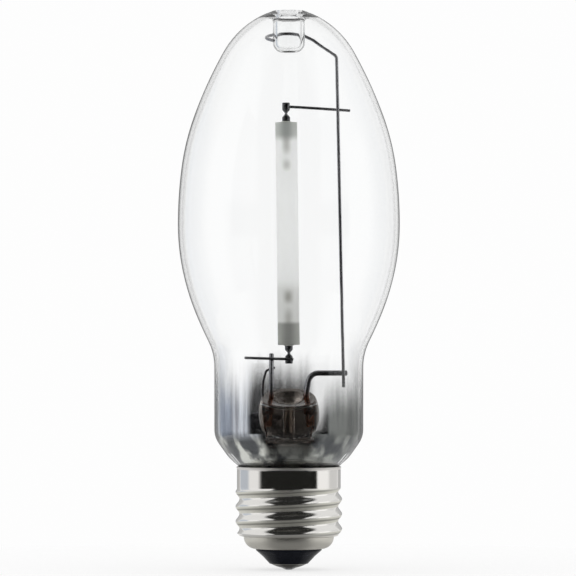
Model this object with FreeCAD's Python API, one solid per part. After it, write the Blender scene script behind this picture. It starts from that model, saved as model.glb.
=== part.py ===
import FreeCAD, Part
import os
from math import ceil, cos, hypot, pi, radians, sin, sqrt, tan

# High pressure sodium lamp: clear dimpled bulb, ceramic arc tube on a wire frame, screw cap.
# Millimetres, +Z up. The origin is the middle of the centre contact's end, on the cap's axis,
# and +X is the side of the long frame wire. The lamp stands cap down.

V = FreeCAD.Vector
UP = V(0, 0, 1)
ORIGIN = V(0, 0, 0)


# Screw cap: rolled shell with an E26 knuckle thread
shell_wall = 0.3
collar_below_crest = 0.35
collar_length = 5.1
rim_bead = 0.14
rim_bead_height = 0.45
thread_crest_diameter = 26.0
thread_depth = 0.95
thread_pitch = 3.629
thread_length = 11.8
crest_below_rim = 9.8
thread_start_fade = 0.7
thread_end_fade = 1.1
sections_per_turn = 12
bowl_below_root = 1.05
bowl_corner = 2.9
bowl_lip = 0.2
shoulder_drop = 0.3

# Glass insulator and centre contact
cone_height = 3.6
cone_lip = 0.15
contact_diameter = 9.0
contact_dome = 1.2
contact_thickness = 0.4
contact_edge_land = 0.15
eyelet_hole_diameter = 2.4
solder_height = 0.3
solder_diameter = 3.4
solder_flat_diameter = 1.8
solder_bulge_width = 0.12
solder_bulge_share = 0.38
lead_hole_diameter = 1.8
funnel_diameter = 6.0
funnel_depth = 3.0

# Outer bulb: blown glass, told by its outline stations
bulb_wall = 1.0
belly_diameter = 54.2
belly_height = 59.2
lip_height = 111.35
lip_radius = 3.6
lip_lean = 72.3
shoulder_height = 85.9
shoulder_radius = 23.0
shoulder_lean = 20.2
hip_height = 36.8
hip_radius = 22.5
hip_lean = -22.6
neck_diameter = 36.36
neck_top_height = 24.2
neck_bottom_height = 9.0
bowl_end_height = 2.8
bowl_end_radius = 15.1
bowl_end_lean = -36.4
entry_clearance = 0.12
entry_height = 0.0
entry_lean = -46.0
spigot_top_depth = 1.5
spigot_depth = 6.05

# Dimple in the dome
dimple_bore_diameter = 5.8
dimple_wall = 1.0
dimple_depth = 10.5
dimple_corner = 1.6
dimple_lip_round = 0.6
dimple_root_round = 1.1

# Glass stem: flare, tube and rounded press
stem_tube_diameter = 13.5
stem_wall = 1.2
flare_land = 1.15
press_width = 14.8
press_depth = 10.2
press_middle_height = 13.1
press_top = 8.2
press_hip_height = 9.3
press_hip_radius = 6.8
press_hip_lean = -22.0
waist_height = 7.4
waist_radius = 5.7
tube_top_height = 5.9
jaw_foot_height = 6.9
jaw_round = 1.6
cavity_round = 2.0
hollow_slope = 24.0
hollow_middle_height = 17.5
hollow_radius = 24.0
hollow_depth = 1.2
port_mouth_radius = 4.2
port_mouth_depth = 1.9
exhaust_tube_diameter = 4.4
exhaust_tube_wall = 0.8
exhaust_tip_below_flare = 3.6

# Lead wires through the press
lead_spacing = 8.5
left_lead_diameter = 1.15
left_lead_height = 14.7
right_lead_diameter = 1.35
right_lead_lean = 0.85
right_lead_straight = 17.6
arm_height = 9.7
arm_reach = 14.4
arm_bend = 2.5
outer_lead_diameter = 0.5
outer_lead_bend = 1.0
seal_joint_below_top = 4.9
contact_lead_below_tip = 1.5
contact_lead_above_bowl = 1.2
shell_lead_below_flare = 1.3
shell_lead_clearance = 0.06
shell_lead_exit_bend = 0.4
shell_lead_end_out = 0.25
side_lead_angle = 75.0
side_lead_below_rim = 2.1
side_solder_diameter = 3.2
side_solder_height = 0.55

# Arc tube: sintered alumina tube with end plugs
arc_tube_diameter = 5.35
arc_tube_wall = 0.6
arc_tube_length = 54.1
arc_tube_lean = -0.68
upper_plug_length = 3.8
lower_plug_length = 5.0
head_below_lead_top = 2.65
niobium_diameter = 1.95
niobium_wall = 0.25
niobium_head_diameter = 1.86
niobium_reach = 4.75
reservoir_length = 1.1
pinch_thickness = 0.66
pinch_width = 2.6
pinch_height = 2.1
pinch_reach = 1.0
pinch_steps = 10
frit_width = 0.5
frit_height = 0.25
electrode_diameter = 0.8
electrode_reach = 8.6
electrode_grip = 0.6
coil_wire_diameter = 0.28
coil_turns = 8
coil_clearance = 0.01
coil_pitch_ratio = 1.05
coil_from_tip = 0.35
amalgam_diameter = 0.9

# Frame and cross wires
weld_sink = 0.1
cross_wire_diameter = 0.7
upper_weld_below_head_end = 0.9
upper_wire_inside_head = 0.2
upper_wire_drop = 1.0
upper_wire_past_rod = 3.15
lower_weld_above_head_end = 1.15
lower_wire_past_lead = 6.6
lower_wire_rise = 0.12
lower_wire_past_head = 0.2
rod_diameter = 0.78
rod_below_arm = 3.5
rod_inset = 1.1
rod_top_reach = 11.7
rod_bend = 1.2
hoop_clearance = 0.7
hoop_offset = -0.5
hoop_tilt = 14.0
hoop_start = 62.0
hoop_turn = 172.0
hoop_above_dimple_end = 3.9
hoop_lead_in = 1.6
hoop_lead_bend = 2.0
knee_offset = 6.0
knee_below_hoop = 0.45
knee_bend = 1.5
corner_below_hoop = 4.75

# Getter ring on its wire
getter_wire_diameter = 0.58
getter_wire_below_top = 3.9
getter_ring_diameter = 9.0
getter_ring_bore = 6.2
getter_ring_height = 2.2
getter_ring_wall = 0.25
getter_ring_x = -6.0
getter_ring_y = 10.4
getter_ring_above_rim = 10.8
getter_ring_tilt = 13.0
getter_weld_above = 1.4
getter_weld_below = 0.9
getter_wire_points = [(0.9, 0, 0.3), (-1.3, 0.2, -0.5), (-2.0, 0.8, -3.0), (-2.2, 3.3, -6.5)]
getter_wire_bends = [0.8, 1.5, 1.5, 1.5]

# Basing cement between spigot and collar
cement_thickness = 1.25
cement_below_rim = 0.6
cement_above_thread = 0.1

# How far a cutting solid runs past what it cuts
overrun = 1.0

# Heights and radii that follow from the sizes above
contact_top = solder_height + contact_dome
bowl_floor = contact_top + cone_height
thread_bottom = bowl_floor + bowl_corner + shoulder_drop
thread_top = thread_bottom + thread_length
rim_height = thread_top + collar_length
seal_height = rim_height - spigot_depth
crest_radius = thread_crest_diameter / 2
root_radius = crest_radius - thread_depth
collar_radius = crest_radius - collar_below_crest
collar_bore = collar_radius - shell_wall
bowl_radius = root_radius - bowl_below_root
bowl_opening = bowl_radius - bowl_corner - bowl_lip
spigot_radius = collar_bore - cement_thickness
tube_radius = stem_tube_diameter / 2
stem_bore = tube_radius - stem_wall
flare_round = spigot_radius - tube_radius - flare_land
press_middle = rim_height + press_middle_height
press_crown = press_middle + press_top
tube_top = rim_height + tube_top_height
jaw_foot = rim_height + jaw_foot_height
cavity_roof = tube_top
lead_offset = lead_spacing / 2
hollow_middle = rim_height + hollow_middle_height
exhaust_radius = exhaust_tube_diameter / 2
exhaust_bore = exhaust_radius - exhaust_tube_wall
flare_underside = seal_height - stem_wall
seal_joint = hollow_middle - seal_joint_below_top
lead_top = rim_height + left_lead_height + press_middle_height
arm_level = press_middle + arm_height
head_radius = niobium_head_diameter / 2
wire_radius = cross_wire_diameter / 2
rod_radius = rod_diameter / 2
arc_tube_foot = lead_top - head_below_lead_top + niobium_reach
lip_level = rim_height + lip_height
dimple_end = lip_level - dimple_depth
dimple_bore = dimple_bore_diameter / 2
dimple_outer = dimple_bore + dimple_wall
hoop_radius = dimple_outer + hoop_clearance + rod_radius
hoop_level = dimple_end + hoop_above_dimple_end
upper_head_height = arc_tube_foot + arc_tube_length + niobium_reach - upper_weld_below_head_end
lower_head_height = arc_tube_foot - niobium_reach + lower_weld_above_head_end
upper_wire_y = head_radius + wire_radius - weld_sink
arm_rod_y = -(right_lead_diameter / 2 + rod_radius - weld_sink)
cross_rod_y = upper_wire_y - (wire_radius + rod_radius - weld_sink)
rod_foot_height = arm_level - rod_below_arm
corner_height = hoop_level - corner_below_hoop
getter_ring_middle = V(getter_ring_x, getter_ring_y, rim_height + getter_ring_above_rim)


def line(start, end):
    return Part.LineSegment(start, end).toShape()


def point(radius, height):
    """A point of a turned section, drawn in the XZ plane."""
    return V(radius, 0, height)


def section_lines(corners):
    """Straight edges through (radius, height) pairs."""
    ends = [point(r, z) for r, z in corners]
    return [line(a, b) for a, b in zip(ends[:-1], ends[1:])]


def arc_from(start, heading, end):
    """The arc that leaves start along heading and ends at end. A straight line if they are in line."""
    chord = end - start
    normal = V(-heading.z, 0, heading.x)
    sideways = chord.dot(normal)
    if abs(sideways) < 1e-7:
        return line(start, end)
    radius = chord.Length ** 2 / (2 * sideways)
    centre = start + normal * radius
    half = (start - centre) + (end - centre)
    middle = half.normalize() * abs(radius)
    if middle.dot(heading) < 0 and (end - start).dot(heading) < 0:
        middle = middle * -1
    return Part.Arc(start, centre + middle, end).toShape()


def smooth_outline(stations):
    """Two tangent arcs between each pair of stations. A station is (radius, height, lean),
    with lean in degrees from straight down, positive outwards."""
    edges = []
    for (r0, z0, lean0), (r1, z1, lean1) in zip(stations[:-1], stations[1:]):
        start, end = point(r0, z0), point(r1, z1)
        out = V(sin(radians(lean0)), 0, -cos(radians(lean0)))
        into = V(sin(radians(lean1)), 0, -cos(radians(lean1)))
        chord = end - start
        spread = 2 * (1 - out.dot(into))
        along = 2 * chord.dot(out + into)
        if spread < 1e-9:
            reach = chord.Length ** 2 / (4 * chord.dot(into))
        else:
            reach = (sqrt(along ** 2 + 4 * spread * chord.Length ** 2) - along) / (2 * spread)
        middle = (start + end + (out - into) * reach) * 0.5
        edges.append(arc_from(start, out, middle))
        edges.append(arc_from(end, into * -1, middle))
    return edges


def inward(station, depth):
    """A station of the same outline, one wall further in."""
    radius, height, lean = station
    return (radius - depth * cos(radians(lean)), height - depth * sin(radians(lean)), lean)


def turned(edges):
    """Revolves a closed section about the lamp's axis."""
    wire = Part.Wire(Part.__sortEdges__(edges))
    return Part.Face(wire).revolve(ORIGIN, UP, 360)


def ring(inner, outer, bottom, top):
    """A plain annular ring or, with no inner radius, a disc."""
    body = Part.makeCylinder(outer, top - bottom, V(0, 0, bottom))
    if inner > 0:
        body = body.cut(Part.makeCylinder(inner, top - bottom, V(0, 0, bottom)))
    return body


def bar(start, end, radius):
    """A straight round wire between two points."""
    axis = end - start
    return Part.makeCylinder(radius, axis.Length, start, axis)


def rounded_path(points, bends):
    """Edges of a polyline whose inner corners are rounded to the given bend radii."""
    edges = []
    start = points[0]
    for before, corner, after, bend in zip(points[:-2], points[1:-1], points[2:], bends):
        back = (before - corner).normalize()
        on = (after - corner).normalize()
        half = back.getAngle(on) / 2
        setback = bend / tan(half)
        first, last = corner + back * setback, corner + on * setback
        centre = corner + (back + on).normalize() * (bend / sin(half))
        middle = centre + (corner - centre).normalize() * bend
        edges.append(line(start, first))
        edges.append(Part.Arc(first, middle, last).toShape())
        start = last
    edges.append(line(start, points[-1]))
    return edges


def bent_wire(points, bends, radius):
    """A round wire along a rounded polyline."""
    path = Part.Wire(rounded_path(points, bends))
    profile = Part.Wire(Part.Circle(points[0], points[1] - points[0], radius).toShape())
    return path.makePipeShell([profile], True, False)


def oval(half_x, half_y, height):
    """A level circle or, where half_y is the larger, an ellipse. Both start on the Y axis."""
    centre = V(0, 0, height)
    if half_y - half_x < 1e-6:
        circle = Part.Circle(centre, UP, half_x).toShape()
        circle.rotate(centre, UP, 90)
        return Part.Wire(circle)
    return Part.Wire(Part.Ellipse(centre + V(0, half_y, 0), centre + V(-half_x, 0, 0), centre).toShape())


def blend(share):
    """Smooth step from 0 to 1."""
    share = min(max(share, 0.0), 1.0)
    return share * share * (3 - 2 * share)


# Screw shell

def thread_section(height, inset):
    """Level section of the rolled thread: a circle pushed off the axis towards the crest, so that
    the wall swings in and out by half the thread's depth as the circle's centre goes round."""
    turns = (height - (rim_height - crest_below_rim)) / thread_pitch
    below = blend((height - thread_bottom) / thread_start_fade)
    above = blend((thread_top - height) / thread_end_fade)
    push = thread_depth / 2 * below * above
    radius = (root_radius + thread_depth / 2 * below) * above + collar_radius * (1 - above)
    crest = pi + 2 * pi * turns
    centre = V(push * cos(crest), push * sin(crest), height)
    return Part.Wire(Part.Circle(centre, UP, radius - inset).toShape())


def thread_body(inset):
    """Solid inside the thread's surface, as sections stacked up the shell."""
    steps = ceil(thread_length / thread_pitch * sections_per_turn)
    rise = thread_length / steps
    sections = [thread_section(thread_bottom + i * rise, inset) for i in range(steps + 1)]
    return Part.makeLoft(sections, True, False)


def make_screw_shell():
    """Rolled brass shell: beaded rim, plain collar, knuckle thread and drawn bowl."""
    bead_radius = collar_radius + rim_bead
    bead_foot = rim_height - rim_bead_height
    collar = turned(section_lines([
        (collar_bore, thread_top), (collar_radius, thread_top), (collar_radius, bead_foot),
        (bead_radius, bead_foot + rim_bead), (bead_radius, rim_height - rim_bead),
        (bead_radius - rim_bead, rim_height), (collar_bore, rim_height), (collar_bore, thread_top),
    ]))
    thread = thread_body(0).cut(thread_body(shell_wall))
    shell = collar.fuse([thread, turned(bowl_section())])
    hole_height = rim_height - side_lead_below_rim
    return shell.cut(side_hole(outer_lead_diameter / 2, hole_height)).removeSplitter()


def bowl_arc(inset):
    """The bowl's corner arc, from its waist down to its floor."""
    corner = bowl_corner - inset
    middle = point(bowl_radius - bowl_corner, bowl_floor + bowl_corner)
    waist = middle + V(corner, 0, 0)
    floor = middle - V(0, 0, corner)
    bulge = middle + V(corner * cos(pi / 4), 0, -corner * sin(pi / 4))
    return waist, floor, Part.Arc(waist, bulge, floor).toShape()


def bowl_section():
    """Section of the drawn bowl under the thread."""
    top_out = point(root_radius, thread_bottom)
    top_in = point(root_radius - shell_wall, thread_bottom)
    waist_out, floor_out, arc_out = bowl_arc(0)
    waist_in, floor_in, arc_in = bowl_arc(shell_wall)
    edge_out = point(bowl_opening, bowl_floor)
    edge_in = point(bowl_opening, bowl_floor + shell_wall)
    return [
        line(top_out, waist_out), arc_out, line(floor_out, edge_out), line(edge_out, edge_in),
        line(edge_in, floor_in), arc_in, line(waist_in, top_in), line(top_in, top_out),
    ]


def side_hole(radius, height):
    """The hole that lets the shell's lead out through the collar."""
    direction = V(cos(radians(side_lead_angle)), sin(radians(side_lead_angle)), 0)
    start = direction * (spigot_radius) + V(0, 0, height)
    return Part.makeCylinder(radius, collar_radius, start, direction)


# Insulator, contact and solder

def dome_centre():
    """Centre and radius of the sphere that the contact's outside follows."""
    edge = contact_diameter / 2
    radius = (edge ** 2 + contact_dome ** 2) / (2 * contact_dome)
    return solder_height + radius, radius


def dome_arc(radius, inner, outer):
    """Arc of a sphere about the dome's centre, between two distances from the axis."""
    centre, _ = dome_centre()

    def on(r):
        return point(r, centre - sqrt(radius ** 2 - r ** 2))

    return on(inner), on(outer), Part.Arc(on(inner), on((inner + outer) / 2), on(outer)).toShape()


def make_centre_contact():
    """Domed brass eyelet let into the insulator."""
    _, outside = dome_centre()
    hole, edge = eyelet_hole_diameter / 2, contact_diameter / 2
    low_in, low_out, low = dome_arc(outside, hole, edge)
    high_in, high_out, high = dome_arc(outside - contact_thickness, hole, edge)
    return turned([low, line(low_out, high_out), high, line(high_in, low_in)])


def make_glass_insulator():
    """Moulded black glass: fills the bowl, locks its edge and carries the contact."""
    _, outside = dome_centre()
    hole, edge = lead_hole_diameter / 2, contact_diameter / 2
    roof_in, roof_out, roof = dome_arc(outside - contact_thickness, hole, edge)
    waist, floor, arc = bowl_arc(shell_wall)
    top = bowl_floor + bowl_corner
    corners = [
        (edge, roof_out.z), (edge, contact_top), (edge + contact_edge_land, contact_top),
        (bowl_opening + cone_lip, bowl_floor), (bowl_opening, bowl_floor),
        (bowl_opening, bowl_floor + shell_wall), (floor.x, floor.z),
    ]
    inside = [
        (waist.x, waist.z), (funnel_diameter / 2, top), (hole, top - funnel_depth), (hole, roof_in.z),
    ]
    return turned(section_lines(corners) + [arc, roof] + section_lines(inside))


def make_centre_solder(lead):
    """Solder drop that fills the eyelet round the lead, dressed flat at its end."""
    _, outside = dome_centre()
    hole, neck = eyelet_hole_diameter / 2, lead_hole_diameter / 2
    seat_in, seat_out, seat = dome_arc(outside, hole, solder_diameter / 2)
    roof_in, roof_out, roof = dome_arc(outside - contact_thickness, neck, hole)
    flat = point(solder_flat_diameter / 2, 0)
    bulge = point((flat.x + seat_out.x) / 2 + solder_bulge_width, seat_out.z * solder_bulge_share)
    section = [
        line(ORIGIN, flat), Part.Arc(flat, bulge, seat_out).toShape(), seat,
        line(seat_in, roof_out), roof, line(roof_in, point(0, roof_in.z)),
        line(point(0, roof_in.z), ORIGIN),
    ]
    return turned(section).cut(lead)


def make_side_solder(lead):
    """Low solder bead over the shell lead's end, on the collar."""
    direction = V(cos(radians(side_lead_angle)), sin(radians(side_lead_angle)), 0)
    half = side_solder_diameter / 2
    radius = (half ** 2 + side_solder_height ** 2) / (2 * side_solder_height)
    sunk = radius - side_solder_height
    centre = direction * (collar_radius - sunk) + V(0, 0, rim_height - side_lead_below_rim)
    return Part.makeSphere(radius, centre).cut([
        Part.makeCylinder(collar_radius, rim_height + overrun), lead,
    ])


# Outer bulb

def bulb_stations():
    """The bulb's outside, from the dome's crown to the bowl over the cap."""
    return [
        (lip_radius, lip_level, lip_lean),
        (shoulder_radius, rim_height + shoulder_height, shoulder_lean),
        (belly_diameter / 2, rim_height + belly_height, 0),
        (hip_radius, rim_height + hip_height, hip_lean),
        (neck_diameter / 2, rim_height + neck_top_height, 0),
        (neck_diameter / 2, rim_height + neck_bottom_height, 0),
        (bowl_end_radius, rim_height + bowl_end_height, bowl_end_lean),
        (collar_bore - entry_clearance, rim_height + entry_height, entry_lean),
        (spigot_radius, rim_height - spigot_top_depth, 0),
    ]


def dome_solid(stations):
    """Solid inside an outline: from the axis over the dome and down to the seal."""
    radius, height, lean = stations[0]
    crown = height + radius / tan(radians((90 + lean) / 2))
    foot = stations[-1][0]
    corners = [(foot, stations[-1][1]), (foot, seal_height), (0, seal_height), (0, crown)]
    return turned(smooth_outline([(0, crown, 90)] + stations) + section_lines(corners))


def dimple_solid(radius, floor, corner):
    """Rod with a rounded lower end, as wide as one side of the dimple's wall."""
    top = lip_level + dimple_bore
    middle = point(radius - corner, floor + corner)
    low, side = middle - V(0, 0, corner), middle + V(corner, 0, 0)
    bulge = middle + V(corner * cos(pi / 4), 0, -corner * sin(pi / 4))
    return turned([
        line(point(0, floor), low), Part.Arc(low, bulge, side).toShape(), line(side, point(radius, top)),
        line(point(radius, top), point(0, top)), line(point(0, top), point(0, floor)),
    ])


def round_edge(body, radius, above, size):
    """Rounds the edges that run round the axis at one radius, above a height."""
    def chosen(edge):
        return all(p.z > above and abs(hypot(p.x, p.y) - radius) < 1e-3 for p in edge.discretize(5))

    return body.makeFillet(size, [edge for edge in body.Edges if chosen(edge)])


def make_outer_bulb():
    """One blown piece: dimple, dome, belly, neck, and the spigot that goes into the cap."""
    outside = bulb_stations()
    outer = dome_solid(outside)
    inner = dome_solid([inward(s, bulb_wall) for s in outside])
    inner = inner.cut(dimple_solid(dimple_outer, dimple_end, dimple_corner + dimple_wall))
    bulb = outer.cut([inner, dimple_solid(dimple_bore, dimple_end + dimple_wall, dimple_corner)])
    upper = dimple_end + dimple_corner + dimple_wall + overrun
    bulb = round_edge(bulb, dimple_outer, upper, dimple_root_round)
    return round_edge(bulb, dimple_bore, upper, dimple_lip_round)


# Glass stem

def jaw_cut(side):
    """What one press jaw takes off the head: a flat down to a rounded foot. side is 1 or -1 in Y."""
    flat = side * press_depth / 2
    away = side * press_width
    bend = jaw_foot + jaw_round
    ends = [V(0, flat, press_crown + overrun), V(0, flat, bend), V(0, flat + side * jaw_round, jaw_foot)]
    bulge = V(0, flat + side * jaw_round * (1 - cos(pi / 4)), bend - jaw_round * sin(pi / 4))
    outer = [V(0, away, jaw_foot), V(0, away, press_crown + overrun)]
    edges = [
        line(ends[0], ends[1]), Part.Arc(ends[1], bulge, ends[2]).toShape(), line(ends[2], outer[0]),
        line(outer[0], outer[1]), line(outer[1], ends[0]),
    ]
    face = Part.Face(Part.Wire(edges))
    return face.extrude(V(2 * press_width, 0, 0)).translated(V(-press_width, 0, 0))


def make_glass_stem(leads):
    """Flare, tube and press head in one piece. The head's jaws flatten its front and back, and
    its top is a hollow that slopes to the front, where the exhaust port opens."""
    rim = spigot_radius
    top_centre = point(tube_radius + flare_round, seal_height + flare_round)

    def quarter(radius):
        low, side = top_centre - V(0, 0, radius), top_centre - V(radius, 0, 0)
        bulge = top_centre - V(radius * cos(pi / 4), 0, radius * sin(pi / 4))
        return low, side, Part.Arc(low, bulge, side).toShape()

    low_out, side_out, arc_out = quarter(flare_round)
    low_in, side_in, arc_in = quarter(flare_round + stem_wall)
    head = smooth_outline([
        (0, press_crown, 90),
        (press_width / 2, press_middle, 0),
        (press_hip_radius, rim_height + press_hip_height, press_hip_lean),
        (waist_radius, rim_height + waist_height, 0),
        (tube_radius, tube_top, 0),
    ])
    roof_middle = point(stem_bore - cavity_round, cavity_roof - cavity_round)
    roof_edge, wall_end = roof_middle + V(0, 0, cavity_round), roof_middle + V(cavity_round, 0, 0)
    roof_bulge = roof_middle + V(cavity_round * cos(pi / 4), 0, cavity_round * sin(pi / 4))
    body = turned(head + [
        line(point(tube_radius, tube_top), side_out), arc_out, line(low_out, point(rim, seal_height)),
        line(point(rim, seal_height), point(rim, flare_underside)),
        line(point(rim, flare_underside), low_in), arc_in, line(side_in, wall_end),
        Part.Arc(wall_end, roof_bulge, roof_edge).toShape(), line(roof_edge, point(0, cavity_roof)),
        line(point(0, cavity_roof), point(0, press_crown)),
    ])
    slope = V(0, -sin(radians(hollow_slope)), cos(radians(hollow_slope)))
    middle = V(0, 0, hollow_middle)
    hollow = Part.makeSphere(hollow_radius, middle + slope * (hollow_radius - hollow_depth))
    mouth_depth = hollow_depth + port_mouth_depth
    mouth = Part.makeSphere(port_mouth_radius, middle + slope * (port_mouth_radius - mouth_depth))
    port = Part.makeCylinder(exhaust_bore, hollow_middle - cavity_roof, V(0, 0, cavity_roof - overrun))
    return body.cut([jaw_cut(1), jaw_cut(-1), hollow, mouth, port] + leads).removeSplitter()


def make_exhaust_tube():
    """Thin glass tube fused under the press and tipped off below the flare."""
    tip = flare_underside - exhaust_tip_below_flare
    round_top = tip + exhaust_radius
    outer = Part.makeSphere(exhaust_radius, V(0, 0, round_top))
    outer = outer.fuse(Part.makeCylinder(exhaust_radius, cavity_roof - round_top, V(0, 0, round_top)))
    inner = Part.makeSphere(exhaust_bore, V(0, 0, round_top))
    inner = inner.fuse(Part.makeCylinder(exhaust_bore, cavity_roof - round_top, V(0, 0, round_top)))
    return outer.cut(inner).removeSplitter()


# Lead wires

def left_lead():
    foot = V(-lead_offset, 0, seal_joint)
    return bar(foot, V(-lead_offset, 0, lead_top), left_lead_diameter / 2)


def right_lead():
    """Thick lead that rises from the press and bends out to an arm for the frame wire."""
    points = [
        V(lead_offset, 0, seal_joint), V(lead_offset, 0, rim_height + right_lead_straight),
        V(lead_offset + right_lead_lean, 0, arm_level), V(arm_reach, 0, arm_level),
    ]
    return bent_wire(points, [arm_bend, arm_bend], right_lead_diameter / 2)


def contact_lead():
    """Thin lead from the left seal to the centre contact."""
    turn_height = flare_underside - exhaust_tip_below_flare - contact_lead_below_tip
    centre_height = bowl_floor + bowl_corner + contact_lead_above_bowl
    points = [
        V(-lead_offset, 0, seal_joint), V(-lead_offset, 0, turn_height),
        V(0, 0, centre_height), V(0, 0, solder_height),
    ]
    return bent_wire(points, [outer_lead_bend, outer_lead_bend], outer_lead_diameter / 2)


def shell_lead():
    """Thin lead from the right seal, under the flare, up beside the spigot and out of the collar."""
    radius = outer_lead_diameter / 2
    level = flare_underside - shell_lead_below_flare
    away = V(cos(radians(side_lead_angle)), sin(radians(side_lead_angle)), 0)
    beside = away * (spigot_radius + radius + shell_lead_clearance)
    exit_height = V(0, 0, rim_height - side_lead_below_rim)
    points = [
        V(lead_offset, 0, seal_joint), V(lead_offset, 0, level),
        beside + V(0, 0, level), beside + exit_height,
        away * (collar_radius + shell_lead_end_out) + exit_height,
    ]
    return bent_wire(points, [outer_lead_bend, outer_lead_bend, shell_lead_exit_bend], radius)


# Arc tube, built upright with its foot at zero, then leaned

def plug(length, foot):
    bore = niobium_diameter / 2
    return ring(bore, arc_tube_diameter / 2 - arc_tube_wall, foot, foot + length)


def niobium_tube(plug_length):
    """Crimped feedthrough, pointing up from a plug face at height zero: tube, pinch and welded head."""
    radius = niobium_diameter / 2
    sections = [oval(radius, radius, -plug_length)]
    for i in range(pinch_steps + 1):
        place = 2 * i / pinch_steps - 1
        squash = blend(1 - abs(place))
        plain = radius + (head_radius - radius) * blend((place + 1) / 2)
        half_x = plain + (pinch_thickness / 2 - plain) * squash
        half_y = plain + (pinch_width / 2 - plain) * squash
        sections.append(oval(half_x, half_y, pinch_height + pinch_reach * place))
    sections.append(oval(head_radius, head_radius, niobium_reach))
    body = Part.makeLoft(sections, True, True)
    bore = radius - niobium_wall
    hollow = Part.makeCylinder(bore, plug_length - electrode_grip, V(0, 0, electrode_grip - plug_length))
    reservoir_foot = niobium_reach - niobium_wall - reservoir_length
    reservoir = Part.makeCylinder(head_radius - niobium_wall, reservoir_length, V(0, 0, reservoir_foot))
    grip = Part.makeCylinder(electrode_diameter / 2, electrode_grip, V(0, 0, -plug_length))
    return body.cut([hollow, reservoir, grip])


def frit_ring():
    """Fillet of sealing glass where the niobium leaves the plug."""
    bore = niobium_diameter / 2
    return turned(section_lines([
        (bore, 0), (bore + frit_width, 0), (bore, frit_height), (bore, 0),
    ]))


def electrode_rod(plug_length):
    """Tungsten rod, gripped in the niobium tube's inner end and pointing down."""
    top = electrode_grip - plug_length
    return Part.makeCylinder(electrode_diameter / 2, electrode_grip + electrode_reach,
                             V(0, 0, top - electrode_grip - electrode_reach))


def electrode_coil(plug_length):
    """Close wound tungsten coil just above the rod's tip."""
    wire = coil_wire_diameter / 2
    radius = electrode_diameter / 2 + wire + coil_clearance
    pitch = coil_wire_diameter * coil_pitch_ratio
    tip = -plug_length - electrode_reach + coil_from_tip + wire
    helix = Part.makeHelix(pitch, pitch * coil_turns, radius)
    profile = Part.Wire(Part.Circle(V(radius, 0, 0), V(0, 1, 0), wire).toShape())
    coil = Part.Wire(helix.Edges).makePipeShell([profile], True, True)
    coil.translate(V(0, 0, tip))
    return coil


def lean_in_place(shape, foot_up, level):
    """Puts an arc tube piece in the lamp. Pieces of the lower end are turned over first."""
    placed = shape.copy()
    if not foot_up:
        placed.rotate(ORIGIN, V(1, 0, 0), 180)
    placed.translate(V(0, 0, level))
    placed.rotate(ORIGIN, V(0, 1, 0), arc_tube_lean)
    placed.translate(V(0, 0, arc_tube_foot))
    return placed


def axis_at(height):
    """Sideways place of the leaning arc tube's axis at a height in the lamp."""
    return (height - arc_tube_foot) * tan(radians(arc_tube_lean))


def make_arc_tube_pieces():
    """Every piece of the arc tube, in place, by name."""
    outer = arc_tube_diameter / 2
    pieces = {
        "arc_tube": lean_in_place(ring(outer - arc_tube_wall, outer, 0, arc_tube_length), True, 0),
    }
    ends = {"upper": (upper_plug_length, True, arc_tube_length), "lower": (lower_plug_length, False, 0)}
    for end, (length, up, level) in ends.items():
        made = {
            "end_plug": plug(length, -length),
            "niobium_tube": niobium_tube(length),
            "sealing_frit": frit_ring(),
            "electrode_rod": electrode_rod(length),
            "electrode_coil": electrode_coil(length),
        }
        for name, shape in made.items():
            pieces[end + "_" + name] = lean_in_place(shape, up, level)
    pill_middle = niobium_reach - niobium_wall - amalgam_diameter / 2
    pill = Part.makeSphere(amalgam_diameter / 2, V(0, 0, pill_middle))
    pieces["amalgam_pill"] = lean_in_place(pill, False, 0)
    return pieces


# Frame wire, cross wires and getter

def rod_point(height):
    """A point on the frame rod's centre line, which runs straight from the arm to its top corner."""
    share = (height - arm_level) / (upper_head_height - arm_level)
    y = arm_rod_y + (cross_rod_y - arm_rod_y) * share
    low_x = arm_reach - rod_inset
    x = low_x + (rod_top_reach - low_x) * (height - arm_level) / (corner_height - arm_level)
    return V(x, y, height)


def make_upper_cross_wire(head, rod):
    """Wire welded behind the upper niobium head and behind the frame rod."""
    start_x = axis_at(upper_head_height) - head_radius + upper_wire_inside_head
    far = rod_point(upper_head_height).x
    end_x = far + upper_wire_past_rod
    wire = bar(V(start_x, upper_wire_y, upper_head_height),
               V(end_x, upper_wire_y, upper_head_height - upper_wire_drop), wire_radius)
    return wire.cut([head, rod])


def make_lower_cross_wire(head, lead):
    """Wire welded in front of the lower niobium head and in front of the left lead."""
    head_y = -(head_radius + wire_radius - weld_sink)
    lead_y = -(left_lead_diameter / 2 + wire_radius - weld_sink)
    head_x = axis_at(lower_head_height)

    def at(x):
        share = (x - head_x) / (-lead_offset - head_x)
        return V(x, head_y + (lead_y - head_y) * share, lower_head_height + lower_wire_rise * share)

    start = at(-lead_offset - lower_wire_past_lead)
    end = at(head_x + head_radius + lower_wire_past_head)
    return bar(start, end, wire_radius).cut([head, lead])


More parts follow.
